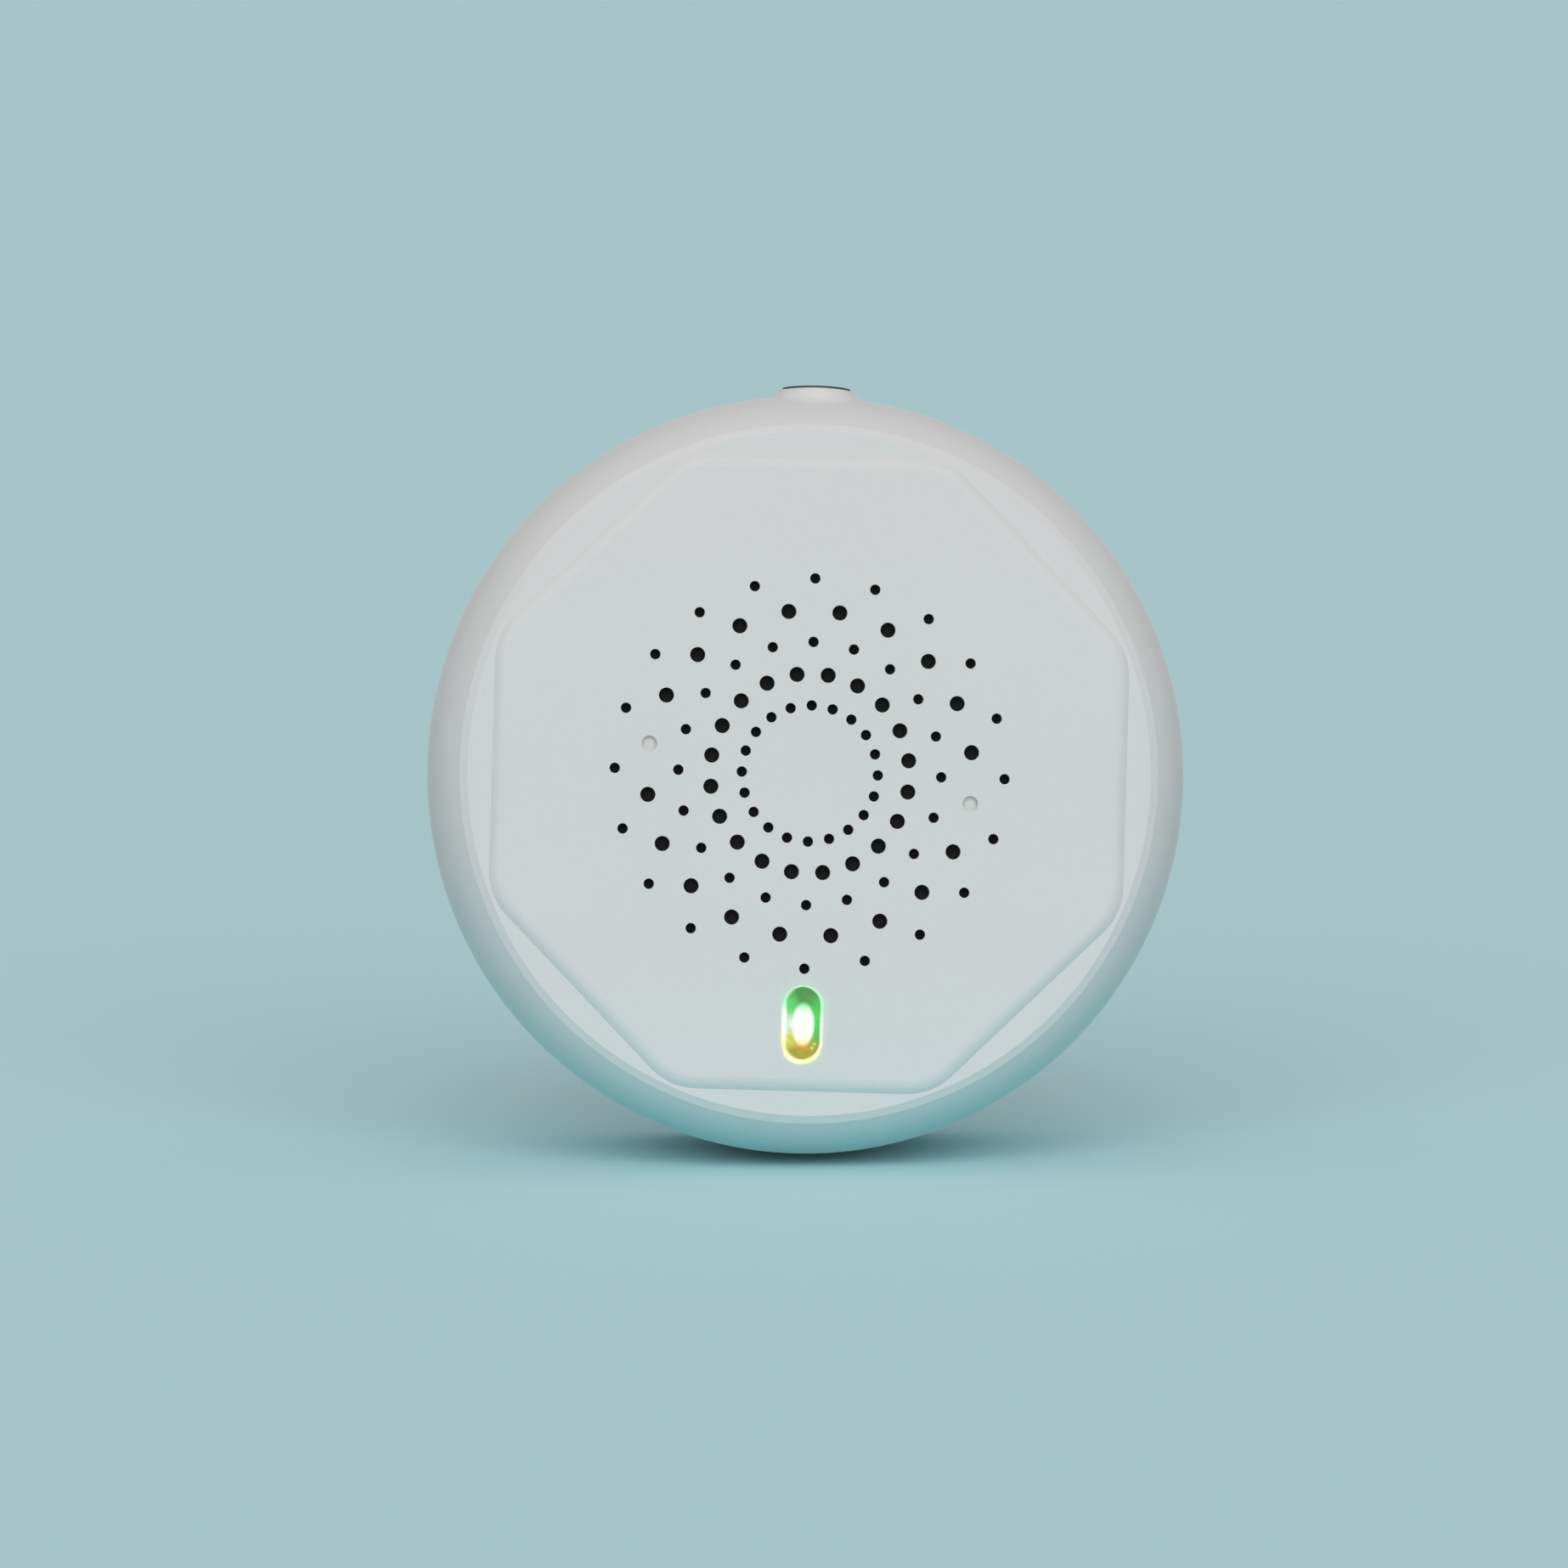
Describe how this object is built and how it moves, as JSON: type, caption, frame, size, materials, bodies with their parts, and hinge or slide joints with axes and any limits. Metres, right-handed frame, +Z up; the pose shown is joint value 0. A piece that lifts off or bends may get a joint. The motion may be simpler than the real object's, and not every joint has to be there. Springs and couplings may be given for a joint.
{
  "type": "gas detector",
  "caption": "Round white wall-mounted gas detector with a raised octagonal front, rings of gas holes, an oblong indicator lens and a power inlet in a neck at the top.",
  "frame": {"origin": "middle of the bracket's back face, which lies on the wall", "axes": "+Z up the wall, -Y out from the wall through the front plate, +X to the viewer's right"},
  "size_m": [0.084, 0.036, 0.085],
  "materials": {
    "cover_plastic": "satin white moulded plastic",
    "housing_plastic": "satin white moulded plastic",
    "bracket_plastic": "fine-textured white moulded plastic",
    "lens_plastic": "clear light pipe",
    "holder_plastic": "black moulded plastic",
    "green_light": "lit green lamp",
    "amber_light": "lit amber lamp",
    "red_light": "unlit red lamp",
    "screen_fabric": "black woven screen",
    "bush_plastic": "black moulded plastic",
    "jack_plastic": "black moulded plastic",
    "plated_metal": "plated contacts and pins",
    "board_laminate": "green circuit board",
    "sensor_steel": "pressed steel can",
    "sensor_ceramic": "sensing element",
    "sleeve_rubber": "soft black sleeve",
    "sounder_plastic": "black moulded plastic",
    "sounder_brass": "thin brass disc",
    "chip_resin": "black moulded resin",
    "ferrite": "grey ferrite",
    "capacitor_metal": "plain can",
    "shield_metal": "tinned lid",
    "screw_steel": "zinc-plated screws"
  },
  "bodies": {
    "root": {"front_cover": "cover_plastic", "rear_housing": "housing_plastic", "wall_bracket": "bracket_plastic", "indicator_lens": "lens_plastic", "lens_holder": "holder_plastic", "green_lamp": "green_light", "red_lamp": "red_light", "amber_lamp": "amber_light", "insect_screen": "screen_fabric", "inlet_bush": "bush_plastic", "jack_body": "jack_plastic", "jack_pin": "plated_metal", "jack_lugs": "plated_metal", "main_board": "board_laminate", "sensor_header": "sensor_steel", "sensor_pins": "plated_metal", "sensor_chip": "sensor_ceramic", "sensor_cap": "sensor_steel", "sensor_gauze": "sensor_steel", "sensor_sleeve": "sleeve_rubber", "sounder_case": "sounder_plastic", "sounder_disc": "sounder_brass", "sounder_pins": "plated_metal", "sounder_base": "sounder_plastic", "radio_board": "board_laminate", "radio_shield": "shield_metal", "controller_chip": "chip_resin", "controller_leads": "plated_metal", "regulator_chip": "chip_resin", "power_inductor": "ferrite", "capacitor_base": "chip_resin", "capacitor_can": "capacitor_metal", "crystal_can": "shield_metal", "case_screws": "screw_steel", "board_screws": "screw_steel"}
  },
  "joints": []
}
